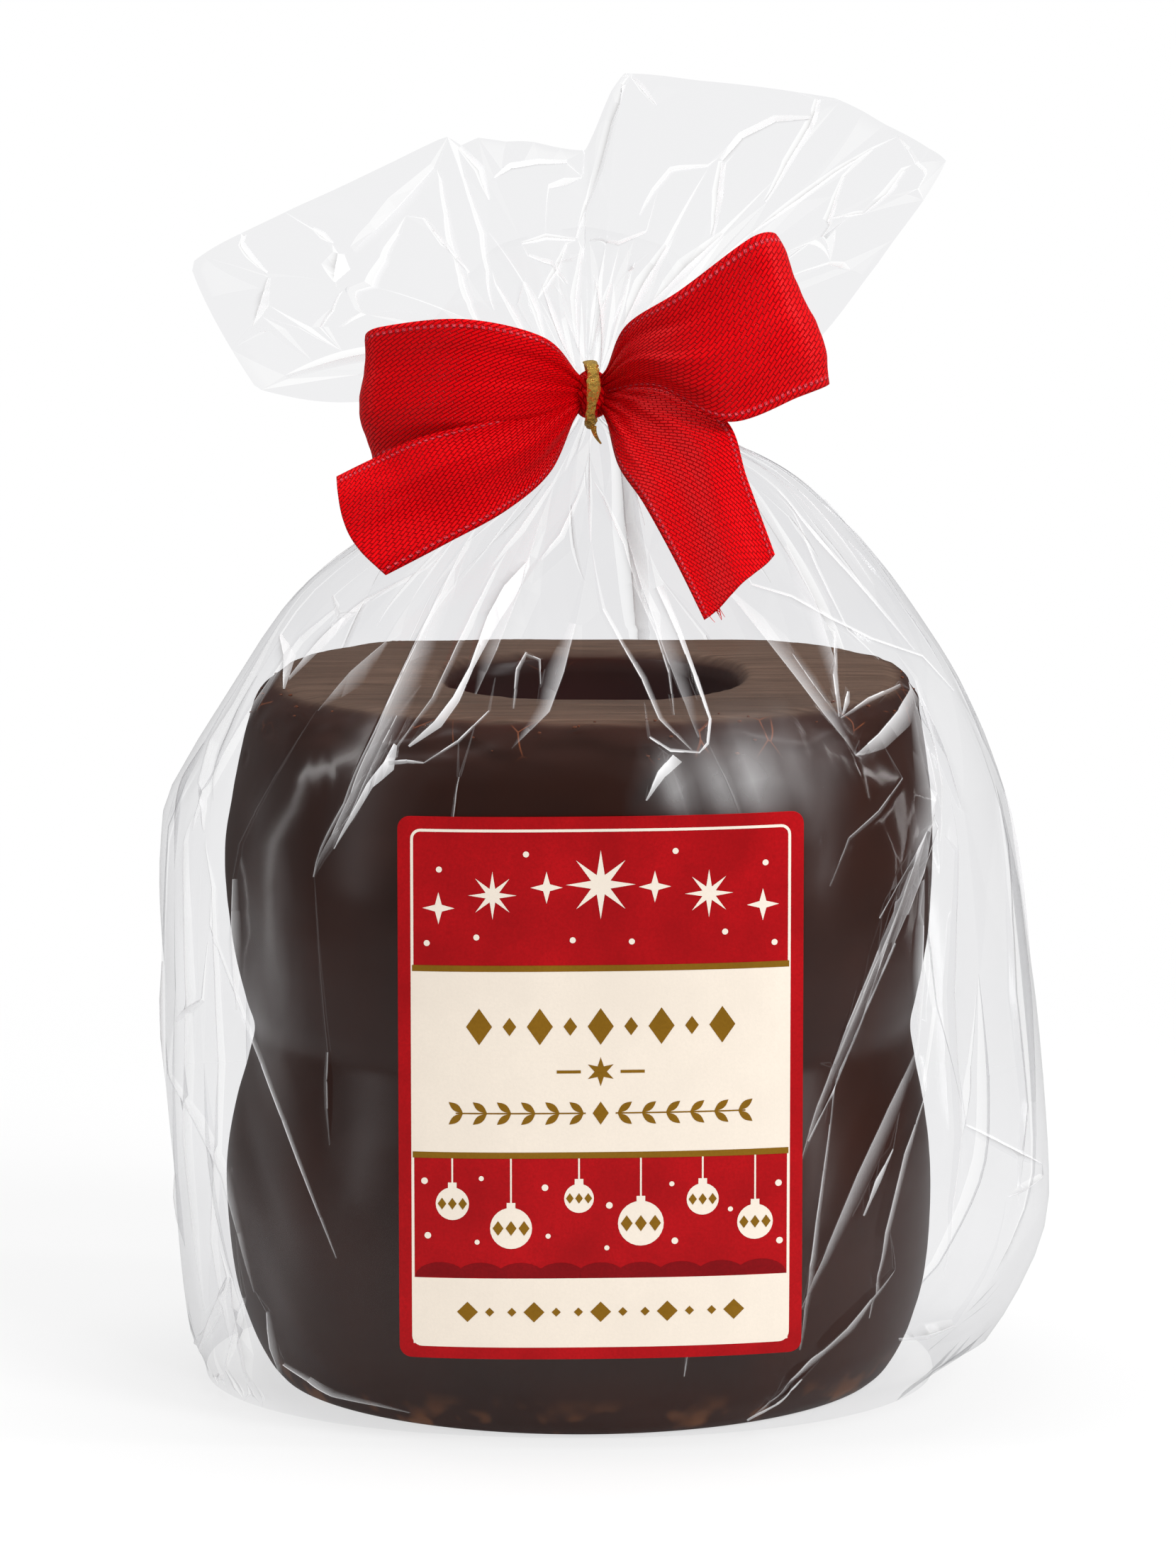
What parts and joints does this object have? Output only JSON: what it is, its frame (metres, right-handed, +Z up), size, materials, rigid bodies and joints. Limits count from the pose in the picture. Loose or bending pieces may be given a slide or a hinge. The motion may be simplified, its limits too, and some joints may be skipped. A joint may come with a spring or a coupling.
{
  "type": "packaged baumkuchen",
  "caption": "Chocolate-coated layered ring cake in a clear film bag, gathered at the neck with a red satin bow and a gold wire, with a printed label on its front.",
  "frame": {"origin": "on the cake's vertical axis, in the plane that the bag stands on", "axes": "+Z up; -Y out of the front, where the label is; +X to the right of someone who faces the label"},
  "size_m": [0.1507, 0.1246, 0.2209],
  "materials": {
    "clear_film": "clear crinkled film over a dark chocolate cake",
    "label_paper": "printed paper, satin",
    "red_satin": "satin ribbon with a woven edge",
    "gold_foil": "crinkled gold foil"
  },
  "bodies": {
    "root": {"bag": "clear_film", "label": "label_paper", "bow": "red_satin", "gold_tie": "gold_foil"}
  },
  "joints": []
}
